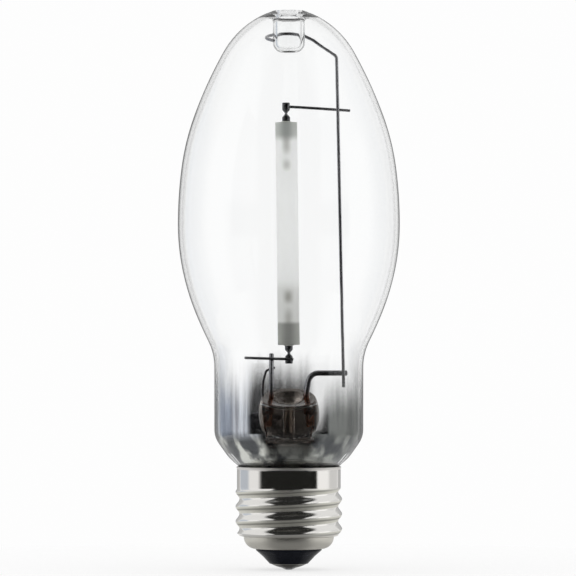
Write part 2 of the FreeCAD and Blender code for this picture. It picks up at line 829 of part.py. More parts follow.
def make_frame_wire():
    """One round wire: the long side rod, then a slope up to an open hoop round the dimple."""
    tilt = FreeCAD.Rotation(V(1, 0, 0), hoop_tilt)
    centre = V(hoop_offset, 0, hoop_level)

    def on_hoop(angle):
        flat = V(cos(radians(angle)), sin(radians(angle)), 0) * hoop_radius
        return centre + tilt.multVec(flat)

    tangent = tilt.multVec(V(-sin(radians(hoop_start)), cos(radians(hoop_start)), 0))
    join, end = on_hoop(hoop_start), on_hoop(hoop_start + hoop_turn)
    corner, lead_in = rod_point(corner_height), join - tangent * hoop_lead_in
    share = (knee_offset - corner.x) / (lead_in.x - corner.x)
    knee_y = corner.y + (lead_in.y - corner.y) * share
    knee = V(knee_offset, knee_y, hoop_level - knee_below_hoop)
    points = [rod_point(rod_foot_height), corner, knee, lead_in, join]
    hoop = Part.Arc(join, on_hoop(hoop_start + hoop_turn / 2), end).toShape()
    path = Part.Wire(rounded_path(points, [rod_bend, knee_bend, hoop_lead_bend]) + [hoop])
    profile = Part.Wire(Part.Circle(points[0], points[1] - points[0], rod_radius).toShape())
    return path.makePipeShell([profile], True, False)


def getter_route():
    """Centre line of the getter's wire, from its free tip across the left lead to the ring's wall."""
    level = lead_top - getter_wire_below_top
    sunk = getter_wire_diameter / 2 - weld_sink
    behind = left_lead_diameter / 2 + sunk
    tilt = FreeCAD.Rotation(V(1, 0, 0), getter_ring_tilt)
    front = -(getter_ring_diameter / 2 + sunk)
    weld = V(-lead_offset, behind, level)
    return [weld + V(*step) for step in getter_wire_points] + [
        getter_ring_middle + tilt.multVec(V(0, front, getter_weld_above)),
        getter_ring_middle + tilt.multVec(V(0, front, -getter_weld_below)),
    ]


def make_getter_ring():
    """Barium getter: an open channel ring, tilted behind the stem."""
    outer, inner = getter_ring_diameter / 2, getter_ring_bore / 2
    half, wall = getter_ring_height / 2, getter_ring_wall
    channel = turned(section_lines([
        (inner, -half), (outer, -half), (outer, half), (outer - wall, half), (outer - wall, wall - half),
        (inner + wall, wall - half), (inner + wall, half), (inner, half), (inner, -half),
    ]))
    channel.rotate(ORIGIN, V(1, 0, 0), getter_ring_tilt)
    channel.translate(getter_ring_middle)
    return channel


def make_getter_wire(lead, channel):
    wire = bent_wire(getter_route(), getter_wire_bends, getter_wire_diameter / 2)
    return wire.cut([lead, channel])


def make_basing_cement(lead, bulb):
    """Ring of cement that holds the collar on the bulb's spigot."""
    top = rim_height - cement_below_rim
    return ring(spigot_radius, collar_bore, thread_top + cement_above_thread, top).cut([lead, bulb])


def build():
    """All the lamp's pieces, by node name."""
    pieces = make_arc_tube_pieces()
    left, right = left_lead(), right_lead()
    to_contact, to_shell = contact_lead(), shell_lead()
    frame = make_frame_wire()
    channel = make_getter_ring()
    bulb = make_outer_bulb()
    pieces.update({
        "screw_shell": make_screw_shell(),
        "glass_insulator": make_glass_insulator(),
        "centre_contact": make_centre_contact(),
        "centre_solder": make_centre_solder(to_contact),
        "side_solder": make_side_solder(to_shell),
        "basing_cement": make_basing_cement(to_shell, bulb),
        "outer_bulb": bulb,
        "glass_stem": make_glass_stem([left, right, to_contact, to_shell]),
        "exhaust_tube": make_exhaust_tube(),
        "left_lead": left,
        "right_lead": right.cut(frame),
        "contact_lead": to_contact,
        "shell_lead": to_shell,
        "frame_wire": frame,
        "upper_cross_wire": make_upper_cross_wire(pieces["upper_niobium_tube"], frame),
        "lower_cross_wire": make_lower_cross_wire(pieces["lower_niobium_tube"], left),
        "getter_ring": channel,
        "getter_wire": make_getter_wire(left, channel),
    })
    return pieces


def main():
    os.makedirs("parts", exist_ok=True)
    for name, shape in sorted(build().items()):
        solids = shape.Solids
        if len(solids) == 1:
            shape = solids[0]
        shape.exportStep("parts/" + name + ".step")
        box = shape.BoundBox
        print(f"{name:22s} valid {shape.isValid()} solids {len(solids)} volume {shape.Volume:9.3f}"
              f"  z {box.ZMin:7.2f} to {box.ZMax:7.2f}  faces {len(shape.Faces)}")


main()
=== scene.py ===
from math import cos, pi, radians, sin, sqrt, tan

import bmesh
import bpy
import numpy as np
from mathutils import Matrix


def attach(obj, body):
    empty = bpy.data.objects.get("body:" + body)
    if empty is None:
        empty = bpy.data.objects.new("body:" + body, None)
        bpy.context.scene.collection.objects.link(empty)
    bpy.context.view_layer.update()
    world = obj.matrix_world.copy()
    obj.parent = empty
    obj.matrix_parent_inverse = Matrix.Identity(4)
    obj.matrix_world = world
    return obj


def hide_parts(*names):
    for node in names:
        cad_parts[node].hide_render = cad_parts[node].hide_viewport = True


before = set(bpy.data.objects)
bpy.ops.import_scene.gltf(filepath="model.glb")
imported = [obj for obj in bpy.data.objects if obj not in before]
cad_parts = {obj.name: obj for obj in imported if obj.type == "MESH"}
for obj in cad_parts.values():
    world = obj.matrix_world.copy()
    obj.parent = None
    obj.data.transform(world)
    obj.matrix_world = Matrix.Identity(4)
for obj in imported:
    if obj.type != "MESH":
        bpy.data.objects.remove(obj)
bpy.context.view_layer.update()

# High pressure sodium lamp, dressed for its portrait. Sizes are millimetres in the lamp's own
# frame: the cap's contact stands on z = 0, the lamp rises along +Z, the long wire is at +X.


# Glass stem
# A flanged glass tube whose upper end was softened and squeezed by two jaws into a solid head
# round the lead wires. The sloping hollow on top is where the exhaust tube was blown open.

def corner_arc(centre, radius, start, end, count):
    """Points (radius, height) on a circle about centre, from one angle to another in degrees."""
    angle = np.radians(np.linspace(start, end, count))
    return np.column_stack([centre[0] + radius * np.cos(angle), centre[1] + radius * np.sin(angle)])


def arc_between(start, heading, end, count):
    """The arc that leaves start along heading and ends at end: with the chord at an angle a to
    the heading, it turns by 2a in all, on a radius of half the chord over the sine of a."""
    chord = end - start
    normal = np.array([-heading[1], heading[0]])
    turn = np.arctan2(chord @ normal, chord @ heading)
    share = np.linspace(0, 1, count)[:, None]
    if abs(turn) < 1e-6:
        return start + chord * share
    radius = np.hypot(*chord) / (2 * sin(turn))
    angle = 2 * turn * share
    return start + heading * radius * np.sin(angle) + normal * radius * (1 - np.cos(angle))


def tangent_arcs(stations, count=14):
    """A blown outline through stations (radius, height, lean from straight down): each span is
    two arcs that share a tangent at the point where equal reaches along both headings meet."""
    spans = []
    for (r0, z0, lean0), (r1, z1, lean1) in zip(stations, stations[1:]):
        start, end = np.array([r0, z0]), np.array([r1, z1])
        out = np.array([sin(radians(lean0)), -cos(radians(lean0))])
        into = np.array([sin(radians(lean1)), -cos(radians(lean1))])
        chord = end - start
        spread, along = 2 * (1 - out @ into), 2 * chord @ (out + into)
        if spread < 1e-9:
            reach = chord @ chord / (4 * chord @ into)
        else:
            reach = (sqrt(along ** 2 + 4 * spread * (chord @ chord)) - along) / (2 * spread)
        middle = (start + end + (out - into) * reach) / 2
        spans += [arc_between(start, out, middle, count),
                  arc_between(end, -into, middle, count)[::-1]]
    return np.vstack(spans)


def spaced(points, gap):
    """The same line with points at most gap apart, so that long straight runs bend as the rest."""
    steps = np.hypot(*np.diff(points, axis=0).T)
    runs = [np.linspace(a, b, int(max(1, np.ceil(step / gap))), endpoint=False)
            for a, b, step in zip(points[:-1], points[1:], steps) if step > 1e-6]
    return np.vstack(runs + [points[-1:]])


def turned(profile, around):
    """Grid of a profile revolved about the lamp's axis: radius times (cos, sin), and the height."""
    angle = np.linspace(0, 2 * pi, around, endpoint=False)
    radius, height = profile[:, :1], profile[:, 1:]
    return np.stack([radius * np.cos(angle), radius * np.sin(angle), height + 0 * angle], axis=2)


millimetre = 0.001


def skin(name, grid, loop=False, crease=40.0):
    """A closed mesh from a grid of rings, in millimetres. Rings close on themselves. The first and
    last ring meet each other where loop is set, and otherwise each end is a pole on the axis."""
    rows, columns = grid.shape[:2]
    row, column = np.meshgrid(np.arange(rows if loop else rows - 1), np.arange(columns),
                              indexing="ij")
    row, column = row.ravel(), column.ravel()
    above, beside = (row + 1) % rows, (column + 1) % columns
    faces = np.column_stack([row * columns + column, row * columns + beside,
                             above * columns + beside, above * columns + column])
    mesh = bpy.data.meshes.new(name)
    mesh.from_pydata(grid.reshape(-1, 3) * millimetre, [], faces.tolist())
    work = bmesh.new()
    work.from_mesh(mesh)
    bmesh.ops.remove_doubles(work, verts=work.verts, dist=2e-7)
    bmesh.ops.recalc_face_normals(work, faces=work.faces)
    work.to_mesh(mesh)
    work.free()
    mesh.shade_smooth()
    mesh.set_sharp_from_angle(angle=radians(crease))
    piece = bpy.data.objects.new(name, mesh)
    bpy.context.scene.collection.objects.link(piece)
    return piece


def fit(piece, material, slot, *nodes):
    """Gives a piece its material, the body it rides on and the nodes it replaces. The slot is
    not used.
    """
    piece.data.materials.append(material)
    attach(piece, "root")
    if nodes:
        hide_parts(*nodes)
    return piece


class Socket:
    """A value in a node tree. Sums, differences, products and quotients of it add Math nodes."""

    def __init__(self, tree, source=None):
        self.tree, self.source = tree, source

    def node(self, kind, inputs, output=0, **settings):
        """Any other node: its settings first, then numbers or links on its inputs."""
        made = self.tree.nodes.new(kind)
        for name, value in settings.items():
            setattr(made, name, value)
        for name, value in inputs.items():
            if isinstance(value, Socket):
                self.tree.links.new(value.source, made.inputs[name])
            else:
                made.inputs[name].default_value = value
        return Socket(self.tree, made.outputs[output])

    def maths(self, operation, *values):
        """A Math node on any values, for what has no operator."""
        return self.node("ShaderNodeMath", dict(enumerate(values)), operation=operation)

    def __add__(self, other):
        return self.maths("ADD", self, other)

    def __sub__(self, other):
        return self.maths("SUBTRACT", self, other)

    def __rsub__(self, other):
        return self.maths("SUBTRACT", other, self)

    def __mul__(self, other):
        return self.maths("MULTIPLY", self, other)

    def __truediv__(self, other):
        return self.maths("DIVIDE", self, other)

    __radd__, __rmul__ = __add__, __mul__

    def between(self, low, high):
        """0 at low and 1 at high, with a smooth step from one to the other."""
        return self.node("ShaderNodeMapRange", {"Value": self, "From Min": low, "From Max": high},
                         interpolation_type="SMOOTHSTEP")

    def band(self, low, rise, fall, high):
        """0 up to low, 1 from rise to fall and 0 again from high, with smooth steps."""
        return self.between(low, rise) * (1 - self.between(fall, high))

    def within(self, near, far):
        """1 up to near on either side of zero, and 0 from far outwards."""
        return 1 - self.maths("ABSOLUTE", self).between(near, far)

    def larger(self, other):
        """The larger of two values."""
        return self.maths("MAXIMUM", self, other)

    def shade(self, first, second):
        """Colour that goes from first, where this value is 0, to second, where it is 1."""
        return self.node("ShaderNodeMix", {0: self, 6: first, 7: second}, output=2,
                         data_type="RGBA")


def finish(name, constants):
    """A new material with one Principled shader. Constants go on the shader's own sockets.
    Gives the material, its shader and a start for expressions."""
    material = bpy.data.materials.new(name)
    material.use_nodes = True
    shader = material.node_tree.nodes["Principled BSDF"]
    for socket, value in constants.items():
        shader.inputs[socket].default_value = value
    return material, shader, Socket(material.node_tree)


def place(start):
    """The point's own coordinates in millimetres, as a vector and as three numbers."""
    metres = start.node("ShaderNodeTexCoord", {}, output=3)
    vector = start.node("ShaderNodeVectorMath", {0: metres, "Scale": 1 / millimetre},
                        operation="SCALE")
    split = [start.node("ShaderNodeSeparateXYZ", {0: vector}, output=i) for i in range(3)]
    return vector, split


def from_axis(x, y):
    """Distance from the lamp's axis: the root of x squared and y squared."""
    return x.maths("SQRT", x * x + y * y)


def noise(start, vector, stretch, scale, detail=3.0):
    """Cloudy noise from 0 to 1 whose cells are stretched or squeezed along each axis."""
    drawn = start.node("ShaderNodeMapping", {"Vector": vector, "Scale": stretch})
    return start.node("ShaderNodeTexNoise", {"Vector": drawn, "Scale": scale, "Detail": detail})


def link(shader, **values):
    """Feeds values to a shader's sockets. Underscores stand for the spaces in their names."""
    for socket, value in values.items():
        value.tree.links.new(value.source, shader.inputs[socket.replace("_", " ")])


def add_bump(start, shader, height, depth):
    """Relief on a shader's normal: height from 0 to 1 over a depth in millimetres."""
    link(shader, Normal=start.node("ShaderNodeBump", {
        "Height": height, "Distance": depth * millimetre,
    }))


stem_seal = 19.15
stem_tube = 6.75
stem_wall = 1.2
stem_flare = 3.2
stem_rim = 11.1
stem_crown = 46.5
press_flat = 5.1
press_foot = 32.1
press_round = 1.6
cavity_roof = 31.1
exhaust_bore = 1.4
hollow_slope = radians(24)
hollow_normal = np.array([0, -sin(hollow_slope), cos(hollow_slope)])
hollow_middle = np.array([0, 0, 42.7])
hollow_ball, hollow_depth = 24.0, 1.2
mouth_ball, mouth_depth = 4.2, 3.1


def pressed(grid):
    """The jaws' flats: y can't pass the flat, which curves out below its foot with the jaws' edge.
    The soft minimum, a root of the sum of both limits' high inverse powers, leaves the rounded
    edges of melted glass."""
    x, y, z = np.moveaxis(grid, 2, 0)
    below = np.clip(press_foot + press_round - z, 0, press_round)
    limit = press_flat + press_round - np.sqrt(np.maximum(press_round ** 2 - below ** 2, 0))
    free, sharp, least = 50.0, 14, 1e-6
    limit = np.where(z > press_foot, limit, free)
    held = (np.maximum(np.abs(y), least) ** -sharp + limit ** -sharp) ** (-1 / sharp)
    return np.stack([x, np.sign(y) * held, z], axis=2)


def sunk(grid, radius, depth):
    """Hollow of a ball: points above the ball's surface slide down its axis to it. The depth that
    each point goes is a soft maximum of that slide and nothing, so the rim stays rounded."""
    centre = hollow_middle + hollow_normal * (radius - depth)
    away = grid - centre
    along = away @ hollow_normal
    side = np.maximum((away ** 2).sum(axis=2) - along ** 2, 0)
    surface = -np.sqrt(np.maximum(radius ** 2 - side, 0))
    soft, outside = 0.12, -9.0
    over = np.where(side < radius ** 2, along - surface, outside)
    slide = soft * np.logaddexp(0, over / soft)
    return grid - hollow_normal * slide[..., None]


flare_centre = (stem_tube + stem_flare, stem_seal + stem_flare)
cavity_round = 2.0
stem_head = tangent_arcs([
    (0.0, stem_crown, 90), (7.4, 38.3, 0), (6.8, 34.5, -22), (5.7, 32.6, 0), (stem_tube, 31.1, 0),
], 20)
stem_head = stem_head[stem_head[:, 0] > exhaust_bore + 0.05]
stem_outside = np.vstack([
    stem_head, corner_arc(flare_centre, stem_flare, 180, 270, 14), [(stem_rim, stem_seal)],
])
stem_inside = np.vstack([
    [(stem_rim, stem_seal - stem_wall)],
    corner_arc(flare_centre, stem_flare + stem_wall, 270, 180, 14),
    corner_arc((stem_tube - stem_wall - cavity_round, cavity_roof - cavity_round), cavity_round,
               0, 90, 10),
])
stem_bore = np.array([(exhaust_bore, cavity_roof), (exhaust_bore, stem_crown)])
stem_grid = turned(spaced(np.vstack([stem_outside, stem_inside, stem_bore]), 0.35), 160)
head_grid = sunk(sunk(pressed(stem_grid), hollow_ball, hollow_depth), mouth_ball, mouth_depth)
stem_grid = np.where(stem_grid[..., 2:] > press_foot - 0.5, head_grid, stem_grid)
stem = skin("stem", stem_grid, loop=True)


def mirrored(start, shader, cover, constants, **values):
    """Lays a metal film on glass: the two shaders are mixed by how much the film covers."""
    metal = start.tree.nodes.new("ShaderNodeBsdfPrincipled")
    for socket, value in constants.items():
        metal.inputs[socket].default_value = value
    link(metal, **values)
    both = start.node("ShaderNodeMixShader", {
        0: cover, 1: Socket(start.tree, shader.outputs[0]), 2: Socket(start.tree, metal.outputs[0]),
    })
    start.tree.links.new(both.source, start.tree.nodes["Material Output"].inputs["Surface"])


stem_glass, shader, start = finish("stem_glass", {
    "Roughness": 0.0, "IOR": 1.52, "Transmission Weight": 1.0, "Base Color": (0.72, 0.63, 0.56, 1),
})
vector, (x, y, z) = place(start)
add_bump(start, shader, noise(start, vector, (1, 1, 0.4), 0.35), 0.1)

# Metal that settled on the head while the getter was flashed clouds it brown. Painted highlights
# lie on the hollow's front edge and the foot of the press, and the mouth's rim and the sides are
# painted dark as shade.
cloud = noise(start, vector, (1, 1, 1), 0.3)
hollow_edge_highlight = (z - x * x * 0.0265 - 39.3).within(0.1, 0.3)
broken = noise(start, vector, (1, 1, 1), 0.9).between(0.4, 0.6)
foot_edge_highlight = (z - x * x * 0.05 - 32.0).within(0.1, 0.35) * x.within(3.8, 4.8) * broken
# Painted highlights on the hollow's front edge and on the foot of the press.
edges = (hollow_edge_highlight * 0.6).larger(foot_edge_highlight) * (1 - y.between(-2.0, 0.0))
# Painted shade on the mouth's rim and on the head's sides.
mouth_ring_shade = from_axis(x, y).band(3.2, 3.6, 4.0, 4.4) * z.between(37.0, 38.0)
sides = (1 - x.within(6.2, 7.2)) * z.between(31.0, 33.0)
painted_shade = (mouth_ring_shade * 0.7).larger(sides * 0.75)
smoke_and_shade = cloud.shade((0.2, 0.15, 0.11, 1), (0.42, 0.38, 0.35, 1))
smoke_and_shade = painted_shade.shade(smoke_and_shade, (0.03, 0.026, 0.022, 1))
cover = (z.between(24.0, 36.0) * 0.2 + cloud * 0.3).larger(edges.larger(painted_shade))
mirrored(start, shader, cover, {"Metallic": 1.0, "Roughness": 0.3},
         Base_Color=edges.shade(smoke_and_shade, (0.98, 0.97, 0.94, 1)))
fit(stem, stem_glass, "stem_glass", "glass_stem")


# Exhaust tube
# The thin tube through which the lamp was pumped, fused under the press and closed in a flame.

exhaust_tip = 14.35
exhaust_out, exhaust_in = 2.2, 1.4
exhaust_low = exhaust_tip + exhaust_out
exhaust = skin("exhaust", turned(spaced(np.vstack([
    corner_arc((0, exhaust_low), exhaust_out, -90, 0, 12), [(exhaust_out, cavity_roof)],
    [(exhaust_in, cavity_roof)], corner_arc((0, exhaust_low), exhaust_in, 0, -90, 12),
]), 1.0), 48))
fit(exhaust, stem_glass, "stem_glass", "exhaust_tube")


# Lead wires
# Nickel plated wires through the press. Where the glass grips them they carry the red-brown
# oxide of their copper sheath, and below the press thin copper clad wires go on to the cap.

def rounded(points, bends, count=9):
    """Centre line of a bent wire: straight runs between corners, each corner an arc that starts
    one setback, the bend radius over the tangent of half the corner's angle, before it."""
    points = np.array(points, float)
    line = [points[:1]]
    for before, corner, after, bend in zip(points, points[1:], points[2:], bends):
        back, on = before - corner, after - corner
        back, on = back / np.linalg.norm(back), on / np.linalg.norm(on)
        half = np.arccos(np.clip(back @ on, -1, 1)) / 2
        inward = (back + on) / np.linalg.norm(back + on)
        across = (on - back) / np.linalg.norm(on - back)
        centre = corner + inward * bend / sin(half)
        sweep = np.linspace(-(pi / 2 - half), pi / 2 - half, count)[:, None]
        line.append(centre - inward * bend * np.cos(sweep) + across * bend * np.sin(sweep))
    return np.vstack(line + [points[-1:]])


def wire(name, line, radius, beside, around=16):
    """A round wire along a centre line. Each ring lies across the mean of its two runs, on two
    directions made with beside, which is never along the wire. Ends are low domes."""
    line = line[np.r_[True, np.linalg.norm(np.diff(line, axis=0), axis=1) > 1e-6]]
    runs = np.diff(line, axis=0)
    runs /= np.linalg.norm(runs, axis=1)[:, None]
    ahead = np.vstack([runs[:1], runs[:-1] + runs[1:], runs[-1:]])
    ahead /= np.linalg.norm(ahead, axis=1)[:, None]
    left = np.cross(ahead, np.array(beside, float))
    left /= np.linalg.norm(left, axis=1)[:, None]
    over = np.cross(ahead, left)
    rings, bulge = 5, 0.45
    tilt = np.radians(np.linspace(0, 90, rings))
    size = np.r_[np.sin(tilt), np.ones(len(line) - 2), np.cos(tilt)] * radius
    order = np.r_[np.zeros(rings, int), np.arange(1, len(line) - 1), np.full(rings, len(line) - 1)]
    dome = bulge * radius * (1 - np.cos(tilt))
    shift = np.r_[dome, np.zeros(len(line) - 2), -dome[::-1]]
    angle = np.linspace(0, 2 * pi, around, endpoint=False)
    ring = (left[order][:, None] * np.cos(angle)[:, None]
            + over[order][:, None] * np.sin(angle)[:, None])
    centre = line[order] + ahead[order] * shift[:, None]
    return skin(name, centre[:, None] + ring * size[:, None, None], crease=60)


lead_offset = 4.25
seal_joint = 37.8
lead_top = 53.0
arm_level, arm_end = 48.0, 14.4
turn_level, joint_level, cap_radius = 16.65, 23.1, 12.65
left_radius, right_radius, thin_radius = 0.575, 0.675, 0.25
left_lead = wire("left_lead_wire", np.array([
    (-lead_offset, 0, seal_joint), (-lead_offset, 0, 45.0), (-lead_offset, 0, lead_top),
]), left_radius, (0, 1, 0))
right_lead = wire("right_lead_wire", rounded([
    (lead_offset, 0, seal_joint), (lead_offset, 0, 42.8), (lead_offset + 0.85, 0, arm_level),
    (arm_end, 0, arm_level),
], [2.5, 2.5], 14), right_radius, (0, 1, 0), 24)
contact_lead = wire("contact_lead_wire", rounded([
    (-lead_offset, 0, seal_joint), (-lead_offset, 0, 12.85), (0, 0, 9.2), (0, 0, 0.3),
], [1.0, 1.0]), thin_radius, (0, 1, 0))
side_direction = np.array([cos(radians(75)), sin(radians(75)), 0])
past_flare = side_direction * (stem_rim + thin_radius + 0.06)
shell_lead = wire("shell_lead_wire", rounded([
    (lead_offset, 0, seal_joint), (lead_offset, 0, turn_level), past_flare + (0, 0, turn_level),
    past_flare + (0, 0, joint_level), side_direction * (cap_radius + 0.25) + (0, 0, joint_level),
], [1.0, 1.0, 0.4]), thin_radius, (1, 0, 0))

support_metal, shader, start = finish("support_wire", {"Metallic": 1.0})
vector, (x, y, z) = place(start)
drawn = noise(start, vector, (4, 4, 0.6), 2.2)
gripped = 1 - z.between(41.0, 44.5)
link(shader, Base_Color=gripped.shade((0.34, 0.34, 0.355, 1), (0.3, 0.1, 0.04, 1)),
     Roughness=drawn * 0.12 + 0.22)
add_bump(start, shader, drawn, 0.01)

copper_clad, shader, start = finish("outer_lead", {"Metallic": 1.0})
vector, (x, y, z) = place(start)
stain = noise(start, vector, (1, 1, 1), 1.4)
link(shader, Base_Color=stain.shade((0.5, 0.22, 0.12, 1), (0.33, 0.13, 0.08, 1)),
     Roughness=stain * 0.2 + 0.2)

fit(left_lead, support_metal, "support_wire", "left_lead")
fit(right_lead, support_metal, "support_wire", "right_lead")
fit(contact_lead, copper_clad, "outer_lead", "contact_lead")
fit(shell_lead, copper_clad, "outer_lead", "shell_lead")


# Arc tube
# A sintered alumina tube, closed at both ends by alumina plugs and sealing glass round the
# niobium feedthroughs. It is milky: the shadows that the electrodes and plugs would cast through
# it are painted on its wall as shade, and its faint glow is painted light for the light that soaks
# through it.

arc_foot = 55.1
arc_length = 54.1
arc_radius = 2.675
arc_wall = 0.6
arc_lean = radians(-0.68)
arc_edge = 0.12


def leaned(grid, level=0.0, down=False):
    """Arc tube coordinates to the lamp's: lower end pieces are turned over, then all are raised
    and tipped about the tube's foot."""
    x, y, z = np.moveaxis(grid, 2, 0)
    if down:
        y, z = -y, -z
    z = z + level
    return np.stack([x * cos(arc_lean) + z * sin(arc_lean), y,
                     z * cos(arc_lean) - x * sin(arc_lean) + arc_foot], axis=2)


def dress(material, *nodes):
    """Gives CAD nodes that are carried over as they are their material."""
    for node in nodes:
        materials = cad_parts[node].data.materials
        materials.clear()
        materials.append(material)


outer, inner = arc_radius - arc_edge, arc_radius - arc_wall + arc_edge
tube_profile = np.vstack([
    corner_arc((outer, arc_edge), arc_edge, -90, 0, 5),
    corner_arc((outer, arc_length - arc_edge), arc_edge, 0, 90, 5),
    corner_arc((inner, arc_length - arc_edge), arc_edge, 90, 180, 5),
    corner_arc((inner, arc_edge), arc_edge, 180, 270, 5),
])
arc_tube = skin("arc_tube_wall", leaned(turned(spaced(tube_profile, 1.2), 72)), loop=True)

# The emission is painted light: the wall glows faintly in its own colours, in place of the light
# that soaks through it from behind.
alumina, shader, start = finish("alumina", {
    "IOR": 1.5, "Subsurface Weight": 0.3, "Subsurface Radius": (1.0, 1.0, 0.95),
    "Subsurface Scale": 0.0006, "Specular IOR Level": 0.3, "Emission Strength": 0.12,
})
vector, (x, y, z) = place(start)
cloud = noise(start, vector, (1, 1, 0.25), 0.8)

# Painted on the milky wall: the shadows of the two coils and of the rods that carry them, as
# painted shade, the stain that the amalgam left round the lower one, and the grey plugs, darkened
# as painted shade and lighter towards the tube's sides as painted light.
off_axis = start.maths("ABSOLUTE", x - (z - arc_foot) * tan(arc_lean))
coil_shadows = z.band(96.4, 98.8, 98.8, 101.2) + z.band(64.2, 66.6, 66.8, 69.4)
rod_shadows = z.between(99.8, 103.4) * 0.7 + (1 - z.between(61.8, 65.2)) * 0.42
painted_shadow = (coil_shadows * 0.6 + rod_shadows) * (1 - off_axis.between(0.0, 1.7))
stain = (1 - z.between(67.5, 72.0)) * 0.36
body = (cloud * 0.07 + painted_shadow + stain).shade((0.985, 0.995, 0.98, 1), (0.4, 0.4, 0.37, 1))
plug_side_light = off_axis.between(0.2, 2.4)
upper_plug_shade = plug_side_light.shade((0.33, 0.345, 0.33, 1), (0.54, 0.56, 0.53, 1))
lower_plug_shade = plug_side_light.shade((0.25, 0.255, 0.24, 1), (0.4, 0.41, 0.38, 1))
body = z.between(104.0, 106.4).shade(body, upper_plug_shade)
body = (1 - z.between(59.9, 61.0)).shade(body, lower_plug_shade)
# The wall's colours, painted shadows included, also feed its painted glow.
link(shader, Base_Color=body, Emission_Color=body,
     Roughness=noise(start, vector, (1, 1, 1), 3.0) * 0.12 + 0.3)
add_bump(start, shader, noise(start, vector, (1, 1, 1), 9.0), 0.006)
fit(arc_tube, alumina, "alumina", "arc_tube")
dress(alumina, "upper_end_plug", "lower_end_plug")

frit, shader, start = finish("frit", {"IOR": 1.6})
vector, (x, y, z) = place(start)
speck = noise(start, vector, (1, 1, 1), 2.5)
link(shader, Base_Color=speck.shade((0.42, 0.44, 0.4, 1), (0.6, 0.61, 0.56, 1)),
     Roughness=speck * 0.3 + 0.2)
dress(frit, "upper_sealing_frit", "lower_sealing_frit")


# Niobium feedthroughs, electrodes and amalgam
# Thin niobium tubes through the plugs, crimped flat outside and closed with a welded head. Inside
# the plug each grips a tungsten rod with a close wound coil near its tip.

niobium_radius, head_radius, niobium_reach = 0.975, 0.93, 4.75
crimp_middle, crimp_x, crimp_y, head_round = 2.1, 0.33, 1.3, 0.2


def smooth(share):
    """Smooth step, held at 0 and 1: three times the square less twice the cube."""
    share = np.clip(share, 0, 1)
    return share * share * (3 - 2 * share)


def feedthrough(name, plug, level, down):
    """Rings of ovals up the tube: round, flattened over the crimp by a smooth step of the height,
    and round again as the head, which closes in a low dome."""
    shoulder = niobium_reach - head_round
    height = np.concatenate([np.linspace(-plug, crimp_middle - 1.2, 8),
                             np.linspace(crimp_middle - 1.0, crimp_middle + 1.0, 21),
                             np.linspace(crimp_middle + 1.2, shoulder, 5)])
    where = height - crimp_middle
    squash = smooth(1 - np.abs(where))
    plain = niobium_radius + (head_radius - niobium_radius) * smooth((where + 1) / 2)
    tilt = np.radians(np.linspace(0, 90, 7))[:-1]
    dome = head_radius - head_round + head_round * np.cos(tilt)
    half_x = np.r_[0, plain + (crimp_x - plain) * squash, dome, 0]
    half_y = np.r_[0, plain + (crimp_y - plain) * squash, dome, 0]
    height = np.r_[-plug, height, shoulder + head_round * np.sin(tilt), niobium_reach]
    angle = np.linspace(0, 2 * pi, 48, endpoint=False)
    grid = np.stack([half_x[:, None] * np.cos(angle), half_y[:, None] * np.sin(angle),
                     height[:, None] + 0 * angle], axis=2)
    return skin(name, leaned(grid, level, down), crease=50)


niobium, shader, start = finish("niobium", {"Metallic": 1.0})
vector, (x, y, z) = place(start)
haze = noise(start, vector, (1, 1, 0.5), 1.8)
link(shader, Base_Color=haze.shade((0.1, 0.105, 0.11, 1), (0.17, 0.17, 0.175, 1)),
     Roughness=haze * 0.2 + 0.22)
add_bump(start, shader, noise(start, vector, (6, 6, 0.7), 2.0), 0.012)
upper_niobium = feedthrough("upper_feedthrough", 3.8, arc_length, False)
lower_niobium = feedthrough("lower_feedthrough", 5.0, 0.0, True)
fit(upper_niobium, niobium, "niobium", "upper_niobium_tube")
fit(lower_niobium, niobium, "niobium", "lower_niobium_tube")

tungsten, shader, start = finish("tungsten", {"Metallic": 1.0})
vector, (x, y, z) = place(start)
soot = noise(start, vector, (1, 1, 1), 3.0)
link(shader, Base_Color=soot.shade((0.12, 0.12, 0.12, 1), (0.2, 0.2, 0.2, 1)),
     Roughness=soot * 0.25 + 0.3)
dress(tungsten, "upper_electrode_rod", "lower_electrode_rod",
      "upper_electrode_coil", "lower_electrode_coil")
amalgam, shader, start = finish("amalgam", {"Metallic": 1.0})
vector, (x, y, z) = place(start)
link(shader, Roughness=noise(start, vector, (1, 1, 1), 4.0) * 0.2 + 0.1)
dress(amalgam, "amalgam_pill")


# Cross wires
# Two short wires, resistance welded across the niobium heads: the lower to the left lead, the
# upper to the frame wire.

cross_radius, weld_sink = 0.35, 0.1
upper_level = arc_foot + arc_length + niobium_reach - 0.9
lower_level = arc_foot - niobium_reach + 1.15
rod_foot_x, rod_corner_x, rod_corner = 13.3, 11.7, 125.2


def axis_x(height):
    """The leaning arc tube's axis."""
    return (height - arc_foot) * tan(arc_lean)


def rod_x(height):
    """The frame wire's long rod, which leans in on its way up."""
    share = (height - arm_level) / (rod_corner - arm_level)
    return rod_foot_x + (rod_corner_x - rod_foot_x) * share


